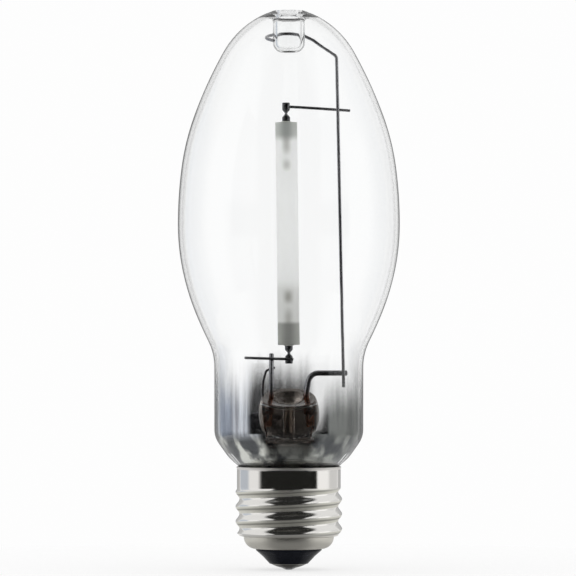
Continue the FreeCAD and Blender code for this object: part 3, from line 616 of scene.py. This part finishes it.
upper_y = head_radius + cross_radius - weld_sink
upper_head_x, upper_rod_x = axis_x(upper_level), rod_x(upper_level)
upper_wire = wire("upper_cross", np.array([
    (upper_head_x - head_radius + 0.2, upper_y, upper_level),
    ((upper_head_x + upper_rod_x) / 2, upper_y, upper_level - 0.4),
    (upper_rod_x + 3.15, upper_y, upper_level - 1.0),
]), cross_radius, (0, 1, 0))
head_x, head_y = axis_x(lower_level), -upper_y
reach_x, reach_y = -lead_offset - head_x, -(left_radius + cross_radius - weld_sink) - head_y
past_lead, past_head = (reach_x - 6.6) / reach_x, (head_radius + 0.2) / reach_x
lower_wire = wire("lower_cross", np.array([
    (head_x + reach_x * share, head_y + reach_y * share, lower_level + 0.12 * share)
    for share in (past_lead, 0.5, past_head)
]), cross_radius, (0, 0, 1))
fit(upper_wire, support_metal, "support_wire", "upper_cross_wire")
fit(lower_wire, support_metal, "support_wire", "lower_cross_wire")


# Frame wire
# One nickel plated wire: it is welded to the right lead's arm, runs up beside the arc tube, then
# slopes in to an open hoop that is sprung round the dimple of the bulb.

rod_radius = 0.39
hoop_centre = np.array([-0.5, 0, 129.95])
hoop_radius = 4.99
hoop_tilt = radians(14)
hoop_start, hoop_sweep, hoop_run = 62, 172, 1.6
knee_x, knee_level = 6.0, 129.5
rod_foot = 44.5
arm_y = -(right_radius + rod_radius - weld_sink)
cross_y = upper_y - (cross_radius + rod_radius - weld_sink)


def on_hoop(angle):
    """Points of the hoop: a circle in the level plane, tipped about the X axis."""
    across, away = np.cos(angle) * hoop_radius, np.sin(angle) * hoop_radius
    return hoop_centre + np.column_stack([across, away * cos(hoop_tilt), away * sin(hoop_tilt)])


def rod_point(height):
    """The rod's middle, which passes in front of the arm and of the upper cross wire."""
    share = (height - arm_level) / (upper_level - arm_level)
    return np.array([rod_x(height), arm_y + (cross_y - arm_y) * share, height])


hoop = on_hoop(np.radians(np.linspace(hoop_start, hoop_start + hoop_sweep, 60)))
tangent = (hoop[1] - hoop[0]) / np.linalg.norm(hoop[1] - hoop[0])
lead_in = hoop[0] - tangent * hoop_run
corner = rod_point(rod_corner)
knee_share = (knee_x - corner[0]) / (lead_in[0] - corner[0])
knee = np.array([knee_x, corner[1] + (lead_in[1] - corner[1]) * knee_share, knee_level])
frame_line = rounded([rod_point(rod_foot), corner, knee, lead_in, hoop[0]], [1.2, 1.5, 2.0])
frame_wire = wire("long_frame_wire", np.vstack([frame_line, hoop[1:]]), rod_radius, (0.6, 0, 0.8))
fit(frame_wire, support_metal, "support_wire", "frame_wire")


# Getter
# A channel ring of nickel plated steel that held the barium, on a thin bent wire from the left
# lead. Its filling has flashed off and left a dark, dry groove.

ring_centre = np.array([-6.0, 10.4, 36.0])
ring_tilt = radians(13)
ring_out, ring_in, ring_half, ring_wall = 4.5, 3.1, 1.1, 0.25
ring_round, ring_fold = 0.35, 0.1
getter_radius = 0.29


def tipped(points):
    """Ring coordinates to the lamp's: tipped about the X axis, then moved to the ring's middle."""
    x, y, z = np.moveaxis(points, -1, 0)
    back = y * cos(ring_tilt) - z * sin(ring_tilt)
    up = y * sin(ring_tilt) + z * cos(ring_tilt)
    return np.stack([x, back, up], axis=-1) + ring_centre


outer_corner = (ring_out - ring_round, ring_round - ring_half)
inner_corner = (ring_in + ring_round, ring_round - ring_half)
channel = np.vstack([
    corner_arc(outer_corner, ring_round, -90, 0, 6), [(ring_out, ring_half - ring_fold)],
    corner_arc((ring_out - ring_fold, ring_half - ring_fold), ring_fold, 0, 180, 6),
    corner_arc(outer_corner, ring_round - ring_wall, 0, -90, 4),
    corner_arc(inner_corner, ring_round - ring_wall, 270, 180, 4),
    corner_arc((ring_in + ring_fold, ring_half - ring_fold), ring_fold, 0, 180, 6),
    corner_arc(inner_corner, ring_round, 180, 270, 6),
])
getter_ring = skin("getter_channel", tipped(turned(channel, 96)), loop=True)
getter_front = -(ring_out + getter_radius - weld_sink)
weld = np.array([-lead_offset, left_radius + getter_radius - weld_sink, lead_top - 3.9])
getter_line = np.vstack([
    weld + np.array([(0.9, 0, 0.3), (-1.3, 0.2, -0.5), (-2.0, 0.8, -3.0), (-2.2, 3.3, -6.5)]),
    tipped(np.array([(0, getter_front, 1.4), (0, getter_front, -0.9)])),
])
getter_wire = wire("getter_support", rounded(getter_line, [0.8, 1.5, 1.5, 1.5]), getter_radius,
                   (0, 1, 0))

getter_metal, shader, start = finish("getter_metal", {"Metallic": 1.0})
vector, (x, y, z) = place(start)
burnt = noise(start, vector, (1, 1, 1), 0.9)
link(shader, Base_Color=burnt.shade((0.12, 0.11, 0.12, 1), (0.3, 0.29, 0.3, 1)),
     Roughness=burnt * 0.3 + 0.2)
add_bump(start, shader, noise(start, vector, (1, 1, 1), 6.0), 0.01)
fit(getter_ring, getter_metal, "getter_metal", "getter_ring")
fit(getter_wire, getter_metal, "getter_metal", "getter_wire")


# Outer bulb
# Blown borosilicate glass, a millimetre thick, with a re-entrant dimple in the dome. Below the
# neck it curves in to the spigot that is cemented into the cap.

bulb_wall = 1.0
dimple_end = 126.05
bore, dimple_out = 2.9, 3.9
lip_round, root_round, dimple_corner = 0.6, 1.1, 1.6
neck_radius = 18.18
mirror_top = 66.0
bulb_outside = [
    (3.6, 136.55, 72.3), (23.0, 111.1, 20.2), (27.1, 84.4, 0), (22.5, 62.0, -22.6),
    (neck_radius, 49.4, 0), (neck_radius, 34.2, 0), (15.1, 28.0, -36.4), (12.23, 25.2, -46),
    (stem_rim, 23.7, 0),
]


def stepped_in(station, depth):
    """The station on the wall's inner face: moved square to its lean."""
    radius, height, lean = station
    return (radius - depth * cos(radians(lean)), height - depth * sin(radians(lean)), lean)


def crown_circle(station):
    """Height of the middle, and radius, of the dome's top arc, which is level on the axis."""
    radius, height, lean = station
    size = radius / cos(radians(lean))
    return height - size * sin(radians(lean)), size


def blended_wall(station, wall, size, inward):
    """Fillet between an upright wall and the dome's top arc. Its middle lies one fillet radius
    from both: outside the wall, and under the dome (inside skin the other way)."""
    middle, dome = crown_circle(station)
    r = wall + size
    z = middle + sqrt((dome - size) ** 2 - r ** 2)
    lean = np.degrees(np.arctan2(z - middle, r))
    arc = corner_arc((r, z), size, 180, lean, 8)
    return arc if inward else arc[::-1]


bulb_inside = [stepped_in(station, bulb_wall) for station in bulb_outside]
floor_corner = (bore - dimple_corner, dimple_end + bulb_wall + dimple_corner)

# Both skins leave out the points at the dimple where the two fillets take their place.
outer_skin = tangent_arcs(bulb_outside)[2:]
inner_skin = tangent_arcs(bulb_inside)[::-1][:-3]
lip = blended_wall(bulb_outside[0], bore, lip_round, True)
root = blended_wall(bulb_inside[0], dimple_out, root_round, False)
bulb_profile = np.vstack([
    [(0, dimple_end + bulb_wall)], corner_arc(floor_corner, dimple_corner, -90, 0, 8), lip,
    outer_skin, [(stem_rim, stem_seal)], [(stem_rim - bulb_wall, stem_seal)], inner_skin, root,
    corner_arc(floor_corner, dimple_corner + bulb_wall, 0, -90, 8), [(0, dimple_end)],
])
bulb = skin("bulb", turned(spaced(bulb_profile, 0.9), 160))

glass_look = {
    "Roughness": 0.0, "IOR": 1.48, "Transmission Weight": 1.0,
    "Base Color": (0.995, 0.998, 0.998, 1), "Specular Tint": (0.35, 0.35, 0.35, 1),
}
bulb_glass, shader, start = finish("bulb_glass", glass_look)
vector, (x, y, z) = place(start)
add_bump(start, shader, noise(start, vector, (1, 1, 0.12), 0.09, 2.0), 0.04)
fit(bulb, bulb_glass, "bulb_glass", "outer_bulb")

# The getter was flashed in the finished lamp, and its vapour settled as a mirror on the inside of
# the neck: dense over the cap, thinning to nothing above the lower cross wire.
neck_mirror, shader, start = finish("neck_mirror", glass_look)
vector, (x, y, z) = place(start)
streak = noise(start, vector, (1, 1, 0.05), 0.3)
lines = noise(start, vector, (1, 1, 0.04), 0.9)
ragged = z + (streak - 0.5) * 5.0 + (lines - 0.5) * 3.0
aside = start.maths("ABSOLUTE", x)

# How much of the wall is covered. In front the film ends lower in the middle, where the stem
# shows through. At the back it is dense in a patch behind the stem, and the sides are thinly
# covered further up.
front_film = (1 - (ragged + x.within(4.0, 11.5) * 10.0).between(37.5, 49.0)) * 0.94
back_film = (1 - (ragged - 5.0).between(37.5, 49.0)) * ((x + 2.5).within(6.0, 9.5) * 0.74 + 0.2)
film = front_film + (back_film - front_film) * y.between(-2.0, 2.0)
side_film_and_shade = y.within(2.5, 7.0)
flanks = aside.between(13.5, 16.5) * (1 - z.between(40.0, 60.0)) * 0.3
flanks = flanks + side_film_and_shade * (1 - ragged.between(38.0, 52.0)) * 0.6
low_film = 1 - (z + x.within(4.0, 7.0) * 2.5).between(32.5, 34.5)
cover = film.larger(flanks).larger(low_film * 0.94)

# How light the metal is: streaked on the neck, and lighter to the left as painted light, with dark
# swirls on the curve below it whose light parts are also lighter to the left as painted light, thin
# white dashes near that curve's edges that are painted highlights, and dark sides that are painted
# shade.
# Painted light: the metal goes from light at the left to dark at the right.
across = x.between(-12.0, 12.0)
lit_left_tone = across.shade((0.74, 0.78, 0.85, 1), (0.17, 0.18, 0.165, 1))
dim_lit_left_tone = across.shade((0.24, 0.25, 0.28, 1), (0.07, 0.075, 0.075, 1))
streaky = streak.between(0.3, 0.7) * 0.5 + lines.between(0.35, 0.65) * 0.5
swirl = noise(start, vector, (1, 1, 0.3), 0.2, 4.0).between(0.42, 0.58)
bowl_light = across.shade((0.7, 0.71, 0.66, 1), (0.32, 0.33, 0.31, 1))
bowl_tone = swirl.shade((0.07, 0.075, 0.08, 1), bowl_light)
wall_tone = z.between(31.5, 34.5).shade(bowl_tone, streaky.shade(dim_lit_left_tone, lit_left_tone))
# Painted shade: the metal is dark at the neck's sides, along its outline.
wall_tone = (side_film_and_shade * 0.85).shade(wall_tone, (0.05, 0.052, 0.056, 1))
# Painted highlights: thin white dashes near the edges of the curve below the neck.
off_edge = start.maths("ABSOLUTE", aside - (z - 27.8) * 0.875 - 12.8)
painted_glints = (off_edge - 0.28).within(0.08, 0.16) * z.band(26.4, 26.8, 28.6, 29.2)
mirrored(start, shader, cover, {"Metallic": 1.0},
         Base_Color=painted_glints.shade(wall_tone, (0.98, 0.98, 0.98, 1)),
         Roughness=noise(start, vector, (1, 1, 0.2), 0.6) * 0.06 + 0.01)
bulb.data.materials.append(neck_mirror)

# The mirror lies on the faces below its top that look to the axis.
face_count = len(bulb.data.polygons)
middles, facings = np.zeros(face_count * 3), np.zeros(face_count * 3)
bulb.data.polygons.foreach_get("center", middles)
bulb.data.polygons.foreach_get("normal", facings)
middles, facings = middles.reshape(-1, 3), facings.reshape(-1, 3)
inside = (middles[:, 2] < mirror_top * millimetre) & ((middles * facings)[:, :2].sum(axis=1) < 0)
bulb.data.polygons.foreach_set("material_index", inside.astype(np.int32))


# Screw shell
# Thin brass sheet, drawn to a cup, rolled to the knuckle thread and nickel plated. Its upper rim
# is turned out to a bead round the cemented bulb.

rim, thread_top, thread_foot = 25.2, 20.1, 8.3
crest, depth, pitch = 13.0, 0.95, 3.629
left_crest = rim - 9.8
shell_wall = 0.3
shell_round = 192
rim_foot, rim_roll = 24.5, 0.19
bowl_centre, bowl_round, bowl_radius = (8.1, 8.0), 2.9, 11.0
bowl_edge, bowl_foot, bowl_top, collar_foot = 7.9, 5.1, 8.05, 20.6


def shell_side(height, inset):
    """One skin of the shell. Over the thread each level section is a circle pushed off the axis
    towards the crest, whose bearing turns once per pitch; both ends fade to a plain circle."""
    below = smooth((height - thread_foot) / 0.7)
    above = smooth((thread_top - height) / 1.1)
    push = depth / 2 * below * above
    radius = (crest - depth + depth / 2 * below) * above + cap_radius * (1 - above) - inset
    bearing = pi + 2 * pi * (height - left_crest) / pitch
    angle = np.linspace(0, 2 * pi, shell_round, endpoint=False)
    return np.stack([radius[:, None] * np.cos(angle) + (push * np.cos(bearing))[:, None],
                     radius[:, None] * np.sin(angle) + (push * np.sin(bearing))[:, None],
                     height[:, None] + 0 * angle], axis=2)


bowl_out = np.vstack([
    [(bowl_edge, bowl_foot)], corner_arc(bowl_centre, bowl_round, -90, 0, 14),
    [(bowl_radius, bowl_top)],
])
bowl_in = np.vstack([
    [(bowl_radius - shell_wall, bowl_top)],
    corner_arc(bowl_centre, bowl_round - shell_wall, 0, -90, 14),
    [(bowl_edge, bowl_foot + shell_wall)],
])
levels = np.linspace(thread_foot, thread_top, 96)
rim_out = np.vstack([
    [(cap_radius, collar_foot)], [(cap_radius, rim_foot)],
    corner_arc((cap_radius - 0.05, rim - 0.2), rim_roll, -50, 90, 8),
])
rim_in = np.array([(cap_radius - shell_wall, rim), (cap_radius - shell_wall, collar_foot)])
shell_grid = np.concatenate([
    turned(bowl_out, shell_round), shell_side(levels, 0.0),
    turned(spaced(rim_out, 0.5), shell_round), turned(rim_in, shell_round),
    shell_side(levels[::-1], shell_wall), turned(bowl_in, shell_round),
])
shell = skin("threaded_shell", shell_grid, loop=True, crease=50)

plating, shader, start = finish("shell_plating", {"Metallic": 1.0})
vector, (x, y, z) = place(start)
rubbed = noise(start, vector, (1, 1, 1), 0.35)
rolled = noise(start, vector, (0.3, 0.3, 12), 1.1)
tarnish = (1 - z.between(7.6, 9.2)) * 0.8
on_bead = z.between(24.4, 24.6)

# Height above the crest as a share of the pitch: the grooves are dull, with a darker line in
# them that is painted shade, and the thread's plating is painted lighter than the collar's as
# painted light.
bearing = start.maths("ARCTAN2", y, x) / (2 * pi)
turns = start.maths("FRACT", (z - left_crest) / pitch - bearing + 0.5)
on_thread = z.band(8.0, 9.4, 19.4, 20.4)
groove = turns.band(0.5, 0.55, 0.95, 1.0) * on_thread
# Painted shade: a darker line along the middle of each groove.
groove_shade_line = (turns - 0.78).within(0.03, 0.08)
dull_plating = groove_shade_line.shade((0.86, 0.85, 0.78, 1), (0.5, 0.49, 0.45, 1))
# Painted light: the thread's plating is lighter than the collar's.
plated = on_thread.shade((0.84, 0.82, 0.79, 1), (0.95, 0.935, 0.9, 1))
plated = groove.shade(plated, dull_plating)
worn = rubbed * 0.06 + rolled * 0.03 + on_thread * 0.05
link(shader, Base_Color=tarnish.shade(plated, (0.7, 0.68, 0.61, 1)),
     Roughness=worn + tarnish * 0.5 + groove * 0.5 + on_bead * 0.5 + 0.04)
add_bump(start, shader, rolled + rubbed * 0.5, 0.006)
fit(shell, plating, "shell_plating", "screw_shell")


# Basing cement
# The grey cement ring that was baked between the bulb's spigot and the collar.

cement, shader, start = finish("cement", {"Roughness": 0.9})
vector, (x, y, z) = place(start)
grain = noise(start, vector, (1, 1, 1), 2.2, 6.0)
link(shader, Base_Color=grain.shade((0.42, 0.4, 0.35, 1), (0.62, 0.6, 0.54, 1)))
add_bump(start, shader, grain, 0.12)
dress(cement, "basing_cement")


# Insulator
# Black glass, poured into the bowl of the shell and moulded to a cone that carries the contact.

dome_middle, dome_radius, contact_edge = 9.3375, 9.0375, 4.5
contact_sheet = 0.4


def dome_line(radius, inner, outer, count=14):
    """The underside of a ball round the dished contact's centre: the height is the middle's, less
    the root of the ball's radius squared less r squared."""
    r = np.linspace(inner, outer, count)
    return np.column_stack([r, dome_middle - np.sqrt(radius ** 2 - r ** 2)])


insulator_profile = np.vstack([
    dome_line(dome_radius - contact_sheet, 0.9, contact_edge), [(contact_edge, 1.45)],
    corner_arc((4.62, 1.55), 0.1, -90, -45, 3), [(6.3, 3.2)],
    corner_arc((7.83, 4.86), 0.24, -40, 70, 6), [(bowl_edge, bowl_foot)],
    [(bowl_edge, bowl_foot + shell_wall)],
    corner_arc(bowl_centre, bowl_round - shell_wall, -90, 0, 10), [(3.0, 8.0)], [(0.9, 5.0)],
])
insulator = skin("insulator_cone", turned(spaced(insulator_profile, 0.6), 128), loop=True,
                 crease=35)

black_glass, shader, start = finish("black_glass", {"IOR": 1.55, "Specular IOR Level": 0.08})
vector, (x, y, z) = place(start)
flow = noise(start, vector, (1, 1, 2), 0.5)
link(shader, Base_Color=flow.shade((0.004, 0.005, 0.008, 1), (0.01, 0.011, 0.016, 1)),
     Roughness=flow * 0.12 + 0.06)
add_bump(start, shader, flow, 0.08)
fit(insulator, black_glass, "insulator_glass", "glass_insulator")


# Centre contact and solder
# A brass eyelet pressed into the glass, tinned and dulled, with the contact lead soldered through
# its hole. Its face is painted near black as shade, with a painted highlight round its edge. The
# drop is flat where the lamp stands on it. A second bead holds the shell's lead.

contact_hole = 1.2
contact_profile = np.vstack([
    dome_line(dome_radius, contact_hole, contact_edge),
    dome_line(dome_radius - contact_sheet, contact_hole, contact_edge)[::-1],
])
contact = skin("contact_eyelet", turned(contact_profile, 128), loop=True, crease=50)
eyelet, shader, start = finish("contact_brass", {"Metallic": 1.0})
vector, (x, y, z) = place(start)
dull = noise(start, vector, (1, 1, 1), 1.1)
# Painted highlight: a light ring at the eyelet's edge. The face is painted near black as shade.
crimp = from_axis(x, y).between(4.0, 4.35)
face = dull.shade((0.06, 0.058, 0.052, 1), (0.14, 0.13, 0.115, 1))
link(shader, Base_Color=crimp.shade(face, (0.5, 0.49, 0.45, 1)), Roughness=dull * 0.25 + 0.2)
add_bump(start, shader, dull, 0.03)
fit(contact, eyelet, "contact_brass", "centre_contact")

seat = dome_line(dome_radius, contact_hole, 1.7, 4)
drop_top = 0.78
drop_profile = np.vstack([
    [(0, 0)], [(0.8, 0)], corner_arc((0.8, 0.12), 0.12, -80, -50, 3),
    arc_between(np.array([0.93, 0.04]), np.array([0.93, 0.37]), seat[-1], 7),
    seat[::-1], [(contact_hole, drop_top)], [(0, drop_top)],
])
drop = skin("contact_solder", turned(drop_profile, 64), crease=50)
solder, shader, start = finish("solder", {"Metallic": 1.0})
vector, (x, y, z) = place(start)
frost = noise(start, vector, (1, 1, 1), 2.4)
link(shader, Base_Color=frost.shade((0.4, 0.4, 0.41, 1), (0.62, 0.62, 0.62, 1)),
     Roughness=frost * 0.3 + 0.15)
add_bump(start, shader, frost, 0.04)
fit(drop, solder, "solder", "centre_solder")

# The bead is a low cap of a ball, bent round the collar: it sinks where the collar curves away.
bead_half, bead_height, bead_sink = 1.6, 0.55, 0.12
bead_radius = (bead_half ** 2 + bead_height ** 2) / (2 * bead_height)
bead_rim = 90 - np.degrees(np.arcsin(bead_half / bead_radius))
bead_line = corner_arc((0, bead_height - bead_radius), bead_radius, 90, bead_rim, 12)
bead_grid = turned(np.vstack([bead_line, [(bead_half, -bead_sink)], [(0, -bead_sink)]]), 48)
along, up, out = np.moveaxis(bead_grid, 2, 0)
out = out + np.sqrt(cap_radius ** 2 - along ** 2)
level_direction = np.array([-side_direction[1], side_direction[0], 0])
bead_grid = level_direction * along[..., None] + side_direction * out[..., None]
bead_grid[..., 2] += up + joint_level
side_bead = skin("side_solder_bead", bead_grid, crease=50)
fit(side_bead, solder, "solder", "side_solder")


# Studio
# A white floor and surroundings, as the camera sees them. Reflections show a darker room, which
# polished metal and glass need: a dark front and ceiling between bright sides and a bright back.

floor_radius, floor_sides = 140.0, 96
floor_angle = np.linspace(0, 2 * pi, floor_sides, endpoint=False)
floor_edge = np.column_stack([np.cos(floor_angle), np.sin(floor_angle), 0 * floor_angle])
floor_mesh = bpy.data.meshes.new("floor")
floor_mesh.from_pydata(floor_edge * floor_radius * millimetre, [], [list(range(floor_sides))])
floor = bpy.data.objects.new("floor", floor_mesh)
bpy.context.scene.collection.objects.link(floor)


def grey(level):
    """The neutral colour of this level."""
    return (level, level, level, 1)


def met(start, kind):
    """0 for rays that have met no such surface on their way from the camera, 1 for the others."""
    return start.maths("MINIMUM", start.node("ShaderNodeLightPath", {}, output=kind), 1.0)


paper, shader, start = finish("paper", {
    "Roughness": 1.0, "Specular IOR Level": 0.0, "Emission Strength": 1.0,
})
vector, (x, y, z) = place(start)
seen = start.node("ShaderNodeLightPath", {}, output="Is Camera Ray")
reflected = met(start, "Glossy Depth")
away = from_axis(x, y)
to_front = (y / away * -1.0).between(0.55, 0.8)
beyond = to_front.shade(grey(0.85), grey(0.03))
near = to_front.shade(grey(0.5), grey(0.22))
in_reflections = away.between(21.0, 28.0).shade(near, beyond)
link(shader, Base_Color=reflected.shade(seen.shade(grey(1), grey(0.35)), grey(0)),
     Emission_Color=reflected.shade(seen.shade(grey(0), grey(0.64)), in_reflections))
floor.data.materials.append(paper)

world = bpy.data.worlds.new("studio")
bpy.context.scene.world = world
world.use_nodes = True
room = Socket(world.node_tree)
background = world.node_tree.nodes["Background"]
direction = room.node("ShaderNodeTexCoord", {}, output=0)
dx, dy, dz = [room.node("ShaderNodeSeparateXYZ", {0: direction}, output=i) for i in range(3)]
behind = dy / room.maths("SQRT", dx * dx + dy * dy + 1e-6)
right_side = dx.between(-0.02, 0.02)

# Round the lamp it is light at the sides and the back and grey between them, bluer at the left.
flank = behind.band(0.1, 0.3, 0.7, 0.8)
lights = right_side.shade(grey(0.88), grey(0.985))
flanks = right_side.shade((0.52, 0.56, 0.62, 1), grey(0.68))
panels = flank.shade(lights, flanks)

# The back is greyer to the first reflections from outside, which graze the bulb's outline, and
# dark in a spot straight behind the lamp.
grazing = behind.between(0.76, 0.82) * (1 - met(room, "Transmission Depth"))
panels = grazing.shade(panels, grey(0.48))
straight_back = dy.between(0.96, 0.985) * dz.within(0.08, 0.2)
panels = straight_back.shade(panels, grey(0.2))
panels = dz.between(0.3, 0.45).shade(panels, grey(0.75))

# The front is dark at the lamp's height, with a softer edge at the left, and so is the front half
# of the ceiling.
before = 0 - behind
front = before.between(0.38, 0.43) * right_side + before.between(0.27, 0.47) * (1 - right_side)
overhead = dx.within(0.5, 0.6) * (1 - dy.between(0.0, 0.1))
unlit = front + (overhead - front) * dz.between(0.06, 0.14)
dark = dz.between(0.94, 0.96).shade((0.012, 0.012, 0.011, 1), (0.055, 0.053, 0.048, 1))
shade = met(room, "Glossy Depth").shade(grey(0.985), unlit.shade(panels, dark))
world.node_tree.links.new(shade.source, background.inputs["Color"])

# The camera looks level along +Y at half the lamp's height, through a long lens.
camera = bpy.data.objects.new("camera", bpy.data.cameras.new("camera"))
bpy.context.scene.collection.objects.link(camera)
camera.location = (-0.0002, -1.4, 0.06877)
camera.rotation_euler = (pi / 2, 0, 0)
camera.data.lens = 358.2
camera.data.clip_start = 0.01
bpy.context.scene.camera = camera
bpy.context.scene.view_settings.view_transform = "Standard"
